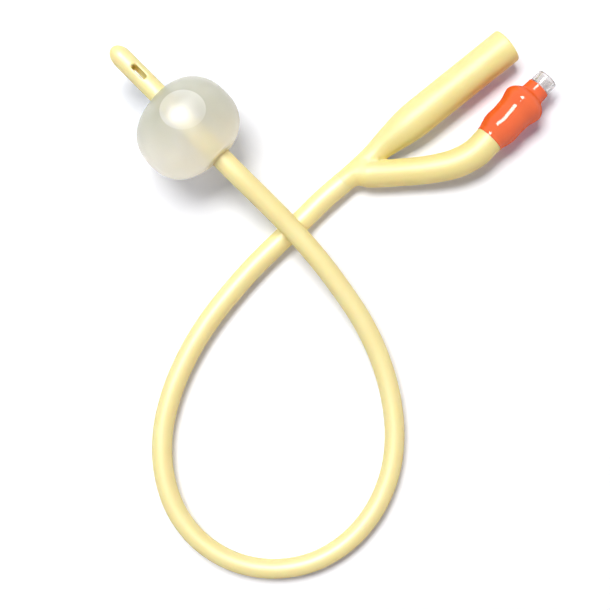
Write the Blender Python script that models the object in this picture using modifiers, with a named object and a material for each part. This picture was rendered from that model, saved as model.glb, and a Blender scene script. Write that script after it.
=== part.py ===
"""Two-way balloon catheter, lying in one loose loop on a table.

The table is the plane z = 0, and the drainage funnel opens along +Y. Sizes and places
are in millimetres, and MM turns them into metres where a mesh is made.
"""
import math

import bmesh
import bpy
from mathutils import Matrix, Vector

MM = 0.001
NAME = "balloon_catheter"

# Clearance between pieces that seat on each other
FIT = 0.3

# Shaft: 18 French at the low end of its tolerance, and a little more at both ends
SHAFT_D = 5.7
SHAFT_ROOT_SWELL = 0.5
SHAFT_WAIST_LOSS = 0.2
SHAFT_END_SWELL = 0.2
SHAFT_ROOT_D = SHAFT_D + SHAFT_ROOT_SWELL
SHAFT_WAIST_D = SHAFT_D - SHAFT_WAIST_LOSS
SHAFT_BALLOON_D = SHAFT_D + SHAFT_END_SWELL
SHAFT_STEP = 2 * SHAFT_D
DRAIN_LUMEN_D = 3.0
INFLATION_LUMEN_D = 0.8
LUMEN_OFFSET = 2.15

# Balloon, blown up: rounder than a sphere at the waist and blunt at both ends, more so on
# the side of the shaft
BALLOON_D = 28.9
BALLOON_TIP_L = 12.5
BALLOON_EXIT_L = 11.75
BALLOON_FULLNESS = 2.35
BALLOON_WALL = 0.6
BALLOON_LEAN = 0.8
CUFF_L = 2.0
CUFF_WALL = 0.6

# Tip section, from the seam inside the balloon to the round nose
TIP_D = 5.65
TIP_L = 39.3
NOSE_L = 4.2
SEAM_TO_WIDEST = 8.7
EYE_L = 5.0
EYE_W = 1.5
EYE_FROM_NOSE = 10.4
EYE_TURN = 14.0
BLIND_END_L = 1.2
INFLATION_HOLE_D = 1.0

# Drainage limb of the moulding: a straight root, a flare and a long cylinder
LIMB_ROOT_L = 8.5
LIMB_FLARE_L = 18.4
FUNNEL_L = 32.3
FUNNEL_D = 10.3
FUNNEL_MOUTH_BORE_D = 8.2
FUNNEL_THROAT_BORE_D = 7.4
FUNNEL_LIP = 0.35

# Inflation arm, with a web that fills the fork beside the limb, and with a rebate and a
# swollen socket under the colour sleeve
ARM_ROOT_D = 7.8
ARM_D = 8.4
ARM_LUMEN_D = 1.6
ARM_STRAIGHT_L = 1.5
ARM_START_D = 4.3
ARM_START_L = 4.0
ARM_SWELL_FROM = 12.0
ARM_SWELL_L = 23.0
WEB_LIMB_L = 13.2
WEB_ARM_L = 8.4
WEB_BELOW_CROWN = 0.4
REBATE_D = 7.0
REBATE_L = 0.9
SOCKET_D = 9.0
SOCKET_FLARE_L = 2.2
SOCKET_TOP = 7.0
SOCKET_DEPTH = 5.8
SOCKET_BORE_D = 5.3

# Valve base: a barbed stem below a flange, with a ring that enters the chamber
BASE_FLANGE_T = 0.9
BASE_STEM_D = 3.9
BASE_STEM_L = 5.4
BASE_BARB_L = 1.6
BASE_RING_H = 1.1
BASE_RING_WALL = 0.6
BASE_CHANNEL_D = 1.4

# Valve housing: skirt, collar and slim neck under the sleeve, then the bare luer end
CHAMBER_D = 6.8
CHAMBER_L = 6.1
SEAT_T = 0.7
SEAT_HOLE_D = 3.0
LUER_DEPTH = 7.8
LUER_MOUTH_D = 4.3
LUER_TAPER = 0.06
LUER_OUTER_D = 6.4
LUER_ROUND = 0.25
COLLAR_D = 10.4
COLLAR_BELOW_SEAT = 2.3
COLLAR_L = 2.0
COLLAR_RAMP_L = 1.0
SHOULDER_L = 2.2
GROOVE_D = 5.4

# Colour sleeve: a thin skin over the arm end and the housing
SLEEVE_L = 19.4
SLEEVE_LIP_WALL = 0.45
SLEEVE_WAIST_WALL = 0.4
SLEEVE_SHOULDER_WALL = 0.7
SLEEVE_NECK_WALL = 0.4

# Plunger, its seal and its spring
PLUNGER_HEAD_D = 5.8
PLUNGER_HEAD_T = 0.8
PLUNGER_STEM_D = 1.9
PLUNGER_STEM_ABOVE_SEAT = 3.0
PLUNGER_GUIDE_D = 2.6
PLUNGER_GUIDE_L = 1.3
SEAL_D = 5.4
SEAL_T = 0.6
SPRING_WIRE_D = 0.36
SPRING_COIL_D = 3.8
SPRING_TURNS = 4
SPRING_POINTS_PER_TURN = 12

# Places: the root of the limb, the axis of the funnel and the axis of the valve
ROOT_X = 23.45
ROOT_Y = -11.0
FUNNEL_X = 22.5
VALVE_X = 39.84
VALVE_Y = 27.9
VALVE_TURN = 97.44
SEAM_X = -4.8
SEAM_Y = -34.87
TIP_TURN = 185.95

# Heights of the shaft's centre line, as steps: 0 on the table, 1 over the lower strand
# where the loop crosses itself, 2 on the balloon's axis
SHAFT_ROUTE = [
    (ROOT_X, ROOT_Y - FIT, 0.0),
    (23.75, -19.5, 0.0),
    (24.6, -27.9, 0.0),
    (25.3, -36.4, 0.0),
    (26.1, -44.9, 0.0),
    (27.9, -55.9, 0.0),
    (30.5, -66.8, 0.0),
    (34.4, -77.3, 0.0),
    (39.7, -87.1, 0.0),
    (46.8, -96.0, 0.0),
    (55.8, -102.8, 0.0),
    (66.4, -106.8, 0.0),
    (77.5, -106.9, 0.0),
    (88.0, -103.0, 0.0),
    (96.5, -95.5, 0.0),
    (101.9, -85.6, 0.0),
    (103.5, -74.4, 0.0),
    (101.4, -63.3, 0.0),
    (96.1, -53.3, 0.0),
    (88.3, -45.2, 0.0),
    (78.8, -39.1, 0.02),
    (68.4, -34.8, 0.1),
    (57.3, -32.2, 0.29),
    (46.0, -31.2, 0.53),
    (34.9, -31.0, 0.79),
    (23.8, -31.6, 1.04),
    (13.0, -32.8, 1.5),
    (2.2, -34.15, 1.93),
    (-1.8, -34.56, 2.0),
    (SEAM_X, SEAM_Y, 2.0),
]

# Centre line of the arm, as x, y and the climb from the table to the valve's axis
ARM_ROUTE = [
    (24.3, -7.4, 0.0),
    (26.87, -3.84, 0.0),
    (29.08, -0.91, 0.0),
    (31.16, 2.09, 0.0),
    (33.12, 4.9, 0.03),
    (36.64, 10.52, 0.2),
    (39.45, 16.48, 0.55),
    (40.5, 22.6, 0.9),
]

# Sides of the round pieces
SHAFT_SIDES = 12
MOULDING_SIDES = 20
FINE_SIDES = 8
TURNED_SIDES = 28
BALLOON_SIDES = 36
BALLOON_RINGS = 18
NOSE_RINGS = 7
SMALL_SIDES = 20
WELD = 1e-6

# Points of a smooth curve between two of its given ones, before it is divided evenly
CURVE_FINENESS = 16

# How far a cutter runs past the face that it opens
OVERRUN = 1.0

LATEX = (0.93, 0.84, 0.52)
BALLOON_FILM = (0.86, 0.85, 0.74)
SLEEVE_ORANGE = (0.90, 0.22, 0.06)
CLEAR_PLASTIC = (0.88, 0.90, 0.90)
WHITE_PLASTIC = (0.90, 0.90, 0.88)
SPRING_STEEL = (0.62, 0.63, 0.65)
SEAL_RUBBER = (0.10, 0.10, 0.11)


def shoulder_radius():
    """Radius of the colour sleeve over the collar, on which the valve rests."""
    return COLLAR_D / 2 + FIT + SLEEVE_SHOULDER_WALL


def balloon_height():
    """Height of the balloon's axis, with the balloon on the table."""
    return BALLOON_D / 2


def smoothstep(value):
    """Ease from 0 to 1."""
    value = min(max(value, 0.0), 1.0)
    return value * value * (3 - 2 * value)


def blend(start, end, share):
    """Value between start and end."""
    return start + (end - start) * share


def smooth_curve(points, step):
    """Points along a smooth curve through the given ones, about one step apart."""
    points = [Vector(point) for point in points]
    spans = [(b - a).length for a, b in zip(points, points[1:])]
    slopes = [(b - a) / span for a, b, span in zip(points, points[1:], spans)]
    tangents = [slopes[0]]
    for i in range(1, len(points) - 1):
        before, after = spans[i - 1], spans[i]
        tangents.append((slopes[i - 1] * after + slopes[i] * before) / (before + after))
    tangents.append(slopes[-1])
    fine = []
    for i, span in enumerate(spans):
        for k in range(CURVE_FINENESS):
            t = k / CURVE_FINENESS
            fine.append(
                points[i] * (2 * t**3 - 3 * t**2 + 1)
                + tangents[i] * span * (t**3 - 2 * t**2 + t)
                + points[i + 1] * (3 * t**2 - 2 * t**3)
                + tangents[i + 1] * span * (t**3 - t**2)
            )
    fine.append(points[-1])
    lengths = [0.0]
    for a, b in zip(fine, fine[1:]):
        lengths.append(lengths[-1] + (b - a).length)
    count = max(2, round(lengths[-1] / step))
    result = []
    k = 0
    for i in range(count + 1):
        target = lengths[-1] * i / count
        while k < len(fine) - 2 and lengths[k + 1] < target:
            k += 1
        share = (target - lengths[k]) / (lengths[k + 1] - lengths[k])
        result.append(fine[k].lerp(fine[k + 1], min(share, 1.0)))
    return result


def clear_scene():
    """Remove whatever objects the file holds."""
    for item in list(bpy.data.objects):
        bpy.data.objects.remove(item, do_unlink=True)


def make_collection(name):
    """New collection in the scene."""
    collection = bpy.data.collections.new(name)
    bpy.context.scene.collection.children.link(collection)
    return collection


def material(name, color, roughness, metallic=0.0, alpha=1.0):
    """Principled material of one colour."""
    result = bpy.data.materials.new(name)
    result.use_nodes = True
    shader = result.node_tree.nodes["Principled BSDF"]
    shader.inputs["Base Color"].default_value = (*color, 1.0)
    shader.inputs["Roughness"].default_value = roughness
    shader.inputs["Metallic"].default_value = metallic
    shader.inputs["Alpha"].default_value = alpha
    result.diffuse_color = (*color, alpha)
    return result


def finish(piece, finish_material):
    """Give a piece its material and smooth shading with sharp steps."""
    piece.data.materials.clear()
    piece.data.materials.append(finish_material)
    if piece.type == "MESH":
        piece.data.shade_smooth()
        piece.data.set_sharp_from_angle(angle=math.radians(35))
    return piece


def as_mesh(source, collection):
    """Turn a curve or a modified object into a plain welded mesh object."""
    name = source.name
    graph = bpy.context.evaluated_depsgraph_get()
    mesh = bpy.data.meshes.new_from_object(source.evaluated_get(graph))
    cleaner = bmesh.new()
    cleaner.from_mesh(mesh)
    bmesh.ops.remove_doubles(cleaner, verts=cleaner.verts, dist=WELD)
    bmesh.ops.recalc_face_normals(cleaner, faces=cleaner.faces)
    cleaner.to_mesh(mesh)
    cleaner.free()
    place = source.matrix_world.copy()
    bpy.data.objects.remove(source, do_unlink=True)
    mesh.name = name
    result = bpy.data.objects.new(name, mesh)
    result.matrix_world = place
    collection.objects.link(result)
    return result


def tube(name, points, radii, sides, collection):
    """Round tube along a polyline, with a radius at each point and closed ends."""
    curve = bpy.data.curves.new(name, "CURVE")
    curve.dimensions = "3D"
    curve.bevel_depth = MM
    curve.bevel_resolution = (sides - 4) // 2
    curve.use_fill_caps = True
    spline = curve.splines.new("POLY")
    spline.points.add(len(points) - 1)
    for knot, point, radius in zip(spline.points, points, radii):
        knot.co = (point[0] * MM, point[1] * MM, point[2] * MM, 1.0)
        knot.radius = radius
    result = bpy.data.objects.new(name, curve)
    collection.objects.link(result)
    bpy.context.view_layer.update()
    return result


def turned(name, profile, place, sides, collection, closed):
    """Piece turned about its own Z from a profile of (radius, height) pairs.

    The profile runs down its outer side. A closed one goes on up the inner side, and an
    open one starts and ends on the axis.
    """
    mesh = bpy.data.meshes.new(name)
    corners = [(radius * MM, 0.0, height * MM) for radius, height in profile]
    edges = [(i, i + 1) for i in range(len(corners) - 1)]
    if closed:
        edges.append((len(corners) - 1, 0))
    mesh.from_pydata(corners, edges, [])
    result = bpy.data.objects.new(name, mesh)
    result.matrix_world = place
    collection.objects.link(result)
    screw = result.modifiers.new("turn", "SCREW")
    screw.axis = "Z"
    screw.angle = math.tau
    screw.steps = sides
    screw.render_steps = sides
    screw.use_merge_vertices = True
    screw.merge_threshold = WELD
    bpy.context.view_layer.update()
    return as_mesh(result, collection)


def combine(piece, other, operation):
    """Boolean of a piece with a helper that stays out of the render."""
    other.hide_render = True
    other.display_type = "WIRE"
    modifier = piece.modifiers.new(other.name, "BOOLEAN")
    modifier.operation = operation
    modifier.object = other
    modifier.solver = "EXACT"


def axis_frame(x, y, z, turn):
    """Place of a turned piece: its Z lies level at the turn, and its X points up."""
    along = Vector((math.cos(math.radians(turn)), math.sin(math.radians(turn)), 0.0))
    up = Vector((0.0, 0.0, 1.0))
    side = along.cross(up)
    rotation = Matrix((up, side, along)).transposed().to_4x4()
    return Matrix.Translation(Vector((x, y, z)) * MM) @ rotation


def valve_frame():
    """Place of the valve's pieces: height 0 is the lower rim of the colour sleeve."""
    return axis_frame(VALVE_X, VALVE_Y, shoulder_radius(), VALVE_TURN)


def tip_frame():
    """Place of the tip section: height 0 is its face at the seam."""
    turn = math.radians(TIP_TURN)
    x = SEAM_X + FIT * math.cos(turn)
    y = SEAM_Y + FIT * math.sin(turn)
    return axis_frame(x, y, balloon_height(), TIP_TURN)


def shaft_radius(share):
    """Radius of the shaft, from the moulding at 0 to the balloon at 1."""
    if share < 0.5:
        return blend(SHAFT_ROOT_D, SHAFT_WAIST_D, smoothstep(share * 2)) / 2
    return blend(SHAFT_WAIST_D, SHAFT_BALLOON_D, smoothstep(share * 2 - 1)) / 2


def shaft_height(step, share):
    """Height of the shaft's centre line at a step of the route."""
    table = shaft_radius(share)
    crossing = SHAFT_ROOT_D + FIT + SHAFT_BALLOON_D / 2
    if step <= 1:
        return blend(table, crossing, step)
    return blend(crossing, balloon_height(), step - 1)


def make_shaft(parts, latex):
    """The long flexible shaft, from the moulding to the seam inside the balloon."""
    runs = [0.0]
    for (x0, y0, _), (x1, y1, _) in zip(SHAFT_ROUTE, SHAFT_ROUTE[1:]):
        runs.append(runs[-1] + math.hypot(x1 - x0, y1 - y0))
    route = []
    for (x, y, step), run in zip(SHAFT_ROUTE, runs):
        route.append((x, y, shaft_height(step, run / runs[-1])))
    points = smooth_curve(route, SHAFT_STEP)
    radii = [shaft_radius(i / (len(points) - 1)) for i in range(len(points))]
    return finish(tube("catheter_shaft", points, radii, SHAFT_SIDES, parts), latex)


def make_tip_section(parts, cutters, latex):
    """Closed round tip with its two eyes, its lumens and the balloon's filling hole."""
    place = tip_frame()
    radius = TIP_D / 2
    seam_radius = SHAFT_BALLOON_D / 2
    slim_from = SEAM_TO_WIDEST + BALLOON_TIP_L - CUFF_L * 2
    profile = []
    for i in range(NOSE_RINGS + 1):
        angle = math.pi / 2 * (1 - i / NOSE_RINGS)
        profile.append((radius * math.cos(angle), TIP_L - NOSE_L * (1 - math.sin(angle))))
    profile += [(radius, slim_from), (seam_radius, SEAM_TO_WIDEST), (seam_radius, 0.0), (0.0, 0.0)]
    profile[0] = (0.0, TIP_L)
    tip = turned("tip_section", profile, place, TURNED_SIDES, parts, closed=False)

    eye_height = TIP_L - EYE_FROM_NOSE
    lumen_top = eye_height + EYE_L / 2 + BLIND_END_L
    lumen_radius = DRAIN_LUMEN_D / 2
    lumen = [
        (0.0, lumen_top),
        (lumen_radius * 0.7, lumen_top - lumen_radius * 0.3),
        (lumen_radius, lumen_top - lumen_radius),
        (lumen_radius, -OVERRUN),
        (0.0, -OVERRUN),
    ]
    drain = turned("tip_drain_lumen", lumen, place, SMALL_SIDES, cutters, closed=False)
    combine(tip, drain, "DIFFERENCE")
    combine(tip, eye_cutter(place, eye_height, cutters), "DIFFERENCE")

    thin_radius = INFLATION_LUMEN_D / 2
    thin = [
        (0.0, SEAM_TO_WIDEST),
        (thin_radius, SEAM_TO_WIDEST),
        (thin_radius, -OVERRUN),
        (0.0, -OVERRUN),
    ]
    beside = place @ Matrix.Translation((0.0, LUMEN_OFFSET * MM, 0.0))
    filling = turned("tip_inflation_lumen", thin, beside, SMALL_SIDES, cutters, closed=False)
    combine(tip, filling, "DIFFERENCE")
    hole_radius = INFLATION_HOLE_D / 2
    hole = [(0.0, TIP_D / 2), (hole_radius, TIP_D / 2), (hole_radius, 0.0), (0.0, 0.0)]
    outward = beside @ Matrix.Translation((0.0, 0.0, (SEAM_TO_WIDEST - hole_radius) * MM))
    outward = outward @ Matrix.Rotation(-math.pi / 2, 4, "X")
    outlet = turned("tip_inflation_hole", hole, outward, SMALL_SIDES, cutters, closed=False)
    combine(tip, outlet, "DIFFERENCE")
    return finish(tip, latex)


def eye_cutter(place, height, cutters):
    """Long round-ended bar that cuts both drainage eyes at once."""
    outline = bpy.data.curves.new("tip_eyes", "CURVE")
    outline.dimensions = "2D"
    outline.fill_mode = "BOTH"
    outline.extrude = TIP_D * MM
    spline = outline.splines.new("POLY")
    half = EYE_L / 2 - EYE_W / 2
    corners = []
    arc = 8
    for i in range(arc + 1):
        angle = math.pi * i / arc
        corners.append((EYE_W / 2 * math.cos(angle), half + EYE_W / 2 * math.sin(angle)))
    for i in range(arc + 1):
        angle = math.pi * (1 + i / arc)
        corners.append((EYE_W / 2 * math.cos(angle), -half + EYE_W / 2 * math.sin(angle)))
    spline.points.add(len(corners) - 1)
    for knot, (across, along) in zip(spline.points, corners):
        knot.co = (across * MM, along * MM, 0.0, 1.0)
    spline.use_cyclic_u = True
    bar = bpy.data.objects.new("tip_eyes", outline)
    turn = Matrix.Rotation(math.radians(EYE_TURN), 4, "Z")
    upright = Matrix(((0, 0, 1, 0), (1, 0, 0, 0), (0, 1, 0, 0), (0, 0, 0, 1)))
    bar.matrix_world = place @ Matrix.Translation((0.0, 0.0, height * MM)) @ turn @ upright
    cutters.objects.link(bar)
    bpy.context.view_layer.update()
    return as_mesh(bar, cutters)


def full_ellipses(radius, tip_length, exit_length, end_radius, tip_end_radius):
    """Outline of the balloon from its tip side down to its shaft side."""
    power = 2 / BALLOON_FULLNESS
    start = math.asin((tip_end_radius / radius) ** (1 / power))
    stop = math.pi - math.asin((end_radius / radius) ** (1 / power))
    outline = []
    for i in range(BALLOON_RINGS + 1):
        angle = blend(start, stop, i / BALLOON_RINGS)
        across = radius * math.sin(angle) ** power
        if angle < math.pi / 2:
            outline.append((across, tip_length * math.cos(angle) ** power))
        else:
            outline.append((across, -exit_length * abs(math.cos(angle)) ** power))
    return outline


def make_balloon(parts, film):
    """Thin balloon, open at both ends round the tip section and turned in to two cuffs."""
    radius = BALLOON_D / 2
    bore_exit = SHAFT_BALLOON_D / 2 + FIT
    bore_tip = TIP_D / 2 + FIT
    cuff_exit = bore_exit + CUFF_WALL
    cuff_tip = bore_tip + CUFF_WALL
    outer = full_ellipses(radius, BALLOON_TIP_L, BALLOON_EXIT_L, bore_exit, bore_tip)
    inner = full_ellipses(
        radius - BALLOON_WALL,
        BALLOON_TIP_L - BALLOON_WALL,
        BALLOON_EXIT_L - BALLOON_WALL,
        cuff_exit,
        cuff_tip,
    )
    exit_end = outer[-1][1]
    tip_end = outer[0][1]
    profile = outer + [(bore_exit, exit_end + CUFF_L), (cuff_exit, exit_end + CUFF_L)]
    profile += list(reversed(inner)) + [(cuff_tip, tip_end - CUFF_L), (bore_tip, tip_end - CUFF_L)]
    place = tip_frame() @ Matrix.Translation((0.0, 0.0, SEAM_TO_WIDEST * MM))
    balloon = turned("retention_balloon", profile, place, BALLOON_SIDES, parts, closed=True)

    # It fills a little more on the side away from the funnel
    for vertex in balloon.data.vertices:
        reach = math.hypot(vertex.co.x, vertex.co.y) / MM
        vertex.co.y -= BALLOON_LEAN * MM * smoothstep((reach - cuff_exit) / (radius - cuff_exit))
    return finish(balloon, film)


def limb_radius(along):
    """Outer radius of the drainage limb at a distance from its root."""
    share = smoothstep((along - LIMB_ROOT_L) / LIMB_FLARE_L)
    return blend(SHAFT_ROOT_D, FUNNEL_D, share) / 2


def limb_bore_radius(along):
    """Radius of the bore, from the shaft's lumen to the funnel's mouth."""
    throat = LIMB_ROOT_L + LIMB_FLARE_L
    if along < throat:
        share = smoothstep((along - LIMB_ROOT_L) / LIMB_FLARE_L)
        return blend(DRAIN_LUMEN_D, FUNNEL_THROAT_BORE_D, share) / 2
    return blend(FUNNEL_THROAT_BORE_D, FUNNEL_MOUTH_BORE_D, (along - throat) / FUNNEL_L) / 2


def limb_centre(along):
    """Centre line of the limb: it lies on the table and eases over to the funnel's axis."""
    x = blend(ROOT_X, FUNNEL_X, smoothstep(along / (LIMB_ROOT_L * 2)))
    return x, ROOT_Y + along, limb_radius(min(along, LIMB_ROOT_L + LIMB_FLARE_L))


def limb_stations():
    """Distances along the limb at which its section is given."""
    flare_end = LIMB_ROOT_L + LIMB_FLARE_L
    root = [LIMB_ROOT_L * share for share in (0.0, 0.35, 0.7, 1.0)]
    flare = [LIMB_ROOT_L + LIMB_FLARE_L * i / 8 for i in range(1, 9)]
    return root + flare + [flare_end + FUNNEL_L / 2]


def arm_radius(run):
    """Radius of the arm at a run along it. It starts slim, inside the limb."""
    full = blend(ARM_ROOT_D, ARM_D, smoothstep((run - ARM_SWELL_FROM) / ARM_SWELL_L)) / 2
    grown = math.sin(math.pi / 2 * min(run / ARM_START_L, 1.0))
    return blend(ARM_START_D / 2, full, grown)


def arm_points():
    """Centre line and radii of the arm, as far as the valve's axis."""
    last = len(ARM_ROUTE) - 1
    route = []
    for i, (x, y, climb) in enumerate(ARM_ROUTE):
        radius = blend(ARM_ROOT_D, ARM_D, i / last) / 2
        route.append((x, y, blend(radius, shoulder_radius(), climb)))
    turn = math.radians(VALVE_TURN)
    route.append((
        VALVE_X - ARM_STRAIGHT_L * math.cos(turn),
        VALVE_Y - ARM_STRAIGHT_L * math.sin(turn),
        shoulder_radius(),
    ))
    points = smooth_curve(route, ARM_D / 3)
    radii = []
    run = 0.0
    for point, following in zip(points, points[1:] + points[-1:]):
        radii.append(arm_radius(run))
        run += (following - point).length
    return points, radii


def along_valve(height):
    """Point on the valve's axis at a height above the sleeve's lower rim."""
    turn = math.radians(VALVE_TURN)
    return Vector((VALVE_X + height * math.cos(turn), VALVE_Y + height * math.sin(turn), shoulder_radius()))


def make_web(arm_line, cutters):
    """Web that fills the fork between the limb and the arm, back from the crotch."""
    steps = round(WEB_ARM_L / (ARM_D / 3))
    corners = [limb_centre(0.0)[:2], limb_centre(WEB_LIMB_L)[:2]]
    corners += [(point.x, point.y) for point in reversed(arm_line[:steps + 1])]
    crown = limb_radius(WEB_LIMB_L) * 2 - WEB_BELOW_CROWN
    outline = bpy.data.curves.new("moulding_web", "CURVE")
    outline.dimensions = "2D"
    outline.fill_mode = "BOTH"
    outline.extrude = (crown - WEB_BELOW_CROWN) / 2 * MM
    spline = outline.splines.new("POLY")
    spline.points.add(len(corners) - 1)
    for knot, (x, y) in zip(spline.points, corners):
        knot.co = (x * MM, y * MM, 0.0, 1.0)
    spline.use_cyclic_u = True
    web = bpy.data.objects.new("moulding_web", outline)
    web.matrix_world = Matrix.Translation((0.0, 0.0, (crown + WEB_BELOW_CROWN) / 2 * MM))
    cutters.objects.link(web)
    bpy.context.view_layer.update()
    return as_mesh(web, cutters)


def make_moulding(parts, cutters, latex):
    """The forked moulding: drainage limb with its funnel, and the inflation arm."""
    stations = limb_stations()
    mouth = LIMB_ROOT_L + LIMB_FLARE_L + FUNNEL_L
    outer_points = [limb_centre(along) for along in stations + [mouth - FUNNEL_LIP, mouth]]
    outer_radii = [limb_radius(along) for along in stations + [mouth - FUNNEL_LIP]]
    outer_radii.append(limb_radius(mouth) - FUNNEL_LIP)
    fork = as_mesh(tube("y_funnel", outer_points, outer_radii, MOULDING_SIDES, parts), parts)

    points, radii = arm_points()
    steps = [
        (-FIT, ARM_D / 2),
        (-FIT / 2, REBATE_D / 2),
        (REBATE_L, REBATE_D / 2),
        (REBATE_L + SOCKET_FLARE_L, SOCKET_D / 2),
        (SOCKET_TOP, SOCKET_D / 2),
    ]
    points += [along_valve(height) for height, _ in steps]
    radii += [radius for _, radius in steps]
    arm = as_mesh(tube("moulding_arm", points, radii, MOULDING_SIDES, cutters), cutters)
    combine(fork, arm, "UNION")
    combine(fork, make_web(points, cutters), "UNION")

    bore_stations = [-OVERRUN] + stations + [mouth, mouth + OVERRUN]
    bore_points = [limb_centre(along) for along in bore_stations]
    bore_radii = [limb_bore_radius(max(along, 0.0)) for along in bore_stations]
    bore = as_mesh(tube("moulding_bore", bore_points, bore_radii, SHAFT_SIDES, cutters), cutters)
    combine(fork, bore, "DIFFERENCE")

    socket_floor = SOCKET_TOP - SOCKET_DEPTH
    socket = [
        (0.0, SOCKET_TOP + OVERRUN),
        (SOCKET_BORE_D / 2, SOCKET_TOP + OVERRUN),
        (SOCKET_BORE_D / 2, socket_floor),
        (0.0, socket_floor),
    ]
    seat = turned("moulding_socket", socket, valve_frame(), SMALL_SIDES, cutters, closed=False)
    combine(fork, seat, "DIFFERENCE")
    root_height = SHAFT_ROOT_D / 2
    lumen_points = [(ROOT_X + LUMEN_OFFSET, ROOT_Y - OVERRUN, root_height)]
    lumen_points.append((ROOT_X + LUMEN_OFFSET, ROOT_Y + OVERRUN * 2, root_height))
    lumen_points += points[3:-len(steps)]
    lumen_points.append(along_valve(socket_floor + OVERRUN / 2))
    thin = [INFLATION_LUMEN_D / 2] * 2
    wide = [ARM_LUMEN_D / 2] * (len(lumen_points) - 2)
    lumen = as_mesh(tube("moulding_lumen", lumen_points, thin + wide, FINE_SIDES, cutters), cutters)
    combine(fork, lumen, "DIFFERENCE")
    return finish(fork, latex)


def flange_top():
    """Height of the top face of the valve base's flange."""
    return SOCKET_TOP + FIT + BASE_FLANGE_T


def housing_foot():
    """Height of the lower end of the valve housing."""
    return flange_top() + FIT


def chamber_top():
    """Height of the valve seat's underside."""
    return housing_foot() + CHAMBER_L


def luer_rim():
    """Height of the open rim of the luer end."""
    return chamber_top() + SEAT_T + LUER_DEPTH


def make_valve_base(parts, plastic):
    """Barbed stem that seats in the arm's socket, with the flange and ring above it."""
    channel = BASE_CHANNEL_D / 2
    stem = BASE_STEM_D / 2
    barb = SOCKET_BORE_D / 2 - FIT
    ring = CHAMBER_D / 2 - FIT
    top = flange_top()
    bottom = top - BASE_FLANGE_T
    foot = bottom - BASE_STEM_L
    profile = [
        (ring, top + BASE_RING_H),
        (ring, top),
        (SOCKET_D / 2, top),
        (SOCKET_D / 2, bottom),
        (stem, bottom),
        (stem, foot + BASE_BARB_L * 2),
        (barb, foot + BASE_BARB_L * 2 - 0.2),
        (stem, foot + BASE_BARB_L),
        (barb, foot + BASE_BARB_L - 0.2),
        (stem * 0.8, foot),
        (channel, foot),
        (channel, top),
        (ring - BASE_RING_WALL, top),
        (ring - BASE_RING_WALL, top + BASE_RING_H),
    ]
    return finish(turned("valve_base", profile, valve_frame(), TURNED_SIDES, parts, closed=True), plastic)


def make_valve_housing(parts, plastic):
    """Clear housing: spring chamber, valve seat and open luer socket in one piece."""
    rim = luer_rim()
    foot = housing_foot()
    ceiling = chamber_top()
    collar = ceiling - COLLAR_BELOW_SEAT
    socket_floor = ceiling + SEAT_T
    barrel_foot = SLEEVE_L + FIT
    skirt = SOCKET_D / 2
    barrel = LUER_OUTER_D / 2
    mouth = LUER_MOUTH_D / 2
    profile = [
        (barrel - LUER_ROUND, rim),
        (barrel - LUER_ROUND * 0.3, rim - LUER_ROUND * 0.3),
        (barrel, rim - LUER_ROUND),
        (barrel, barrel_foot),
        (GROOVE_D / 2, barrel_foot),
        (GROOVE_D / 2, collar + COLLAR_L + SHOULDER_L),
        (COLLAR_D / 2, collar + COLLAR_L),
        (COLLAR_D / 2, collar),
        (skirt, collar - COLLAR_RAMP_L),
        (skirt, foot),
        (CHAMBER_D / 2, foot),
        (CHAMBER_D / 2, ceiling),
        (SEAT_HOLE_D / 2, ceiling),
        (SEAT_HOLE_D / 2, socket_floor),
        (mouth - LUER_TAPER / 2 * LUER_DEPTH, socket_floor),
        (mouth, rim),
    ]
    return finish(turned("valve_housing", profile, valve_frame(), TURNED_SIDES, parts, closed=True), plastic)


def make_sleeve(parts, orange):
    """Colour sleeve, which follows the arm's end, the collar and the neck beneath it."""
    collar = chamber_top() - COLLAR_BELOW_SEAT
    flare_top = REBATE_L + SOCKET_FLARE_L
    neck = collar + COLLAR_L + SHOULDER_L
    waist_radius = SOCKET_D / 2 + FIT
    collar_radius = COLLAR_D / 2 + FIT
    neck_radius = GROOVE_D / 2 + FIT
    lip_radius = REBATE_D / 2 + FIT
    inner = [
        (lip_radius, 0.0),
        (lip_radius, REBATE_L - FIT),
        (waist_radius, flare_top - FIT),
        (waist_radius, collar - COLLAR_RAMP_L - FIT),
        (collar_radius, collar - FIT),
        (collar_radius, collar + COLLAR_L + FIT / 2),
        (neck_radius, neck + FIT / 2),
        (neck_radius, SLEEVE_L),
    ]
    shoulder = collar_radius + SLEEVE_SHOULDER_WALL
    waist = waist_radius + SLEEVE_WAIST_WALL
    neck_outer = neck_radius + SLEEVE_NECK_WALL
    outline = [
        (lip_radius + SLEEVE_LIP_WALL, 0.0),
        (blend(lip_radius + SLEEVE_LIP_WALL, waist, 0.5), flare_top * 0.55),
        (waist + 0.02, flare_top + 0.3),
        (waist, blend(flare_top, collar, 0.45)),
        (blend(waist, shoulder, 0.25), collar - COLLAR_RAMP_L * 2),
        (blend(waist, shoulder, 0.75), collar - COLLAR_RAMP_L * 0.3),
        (shoulder, collar + COLLAR_L * 0.55),
        (blend(neck_outer, shoulder, 0.85), collar + COLLAR_L + SHOULDER_L * 0.12),
        (blend(neck_outer, shoulder, 0.5), collar + COLLAR_L + SHOULDER_L * 0.62),
        (neck_outer + 0.2, neck + 0.2),
        (neck_outer + 0.05, blend(neck, SLEEVE_L, 0.5)),
        (neck_outer, SLEEVE_L),
    ]
    smooth = smooth_curve([(radius, height, 0.0) for radius, height in outline], 0.8)
    outer = [(point.x, point.y) for point in reversed(smooth)]
    sleeve = turned("color_sleeve", outer + inner, valve_frame(), TURNED_SIDES, parts, closed=True)
    return finish(sleeve, orange)


def plunger_head_top():
    """Height of the plunger's head, one seal below the valve seat."""
    return chamber_top() - FIT - SEAL_T - FIT


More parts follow.
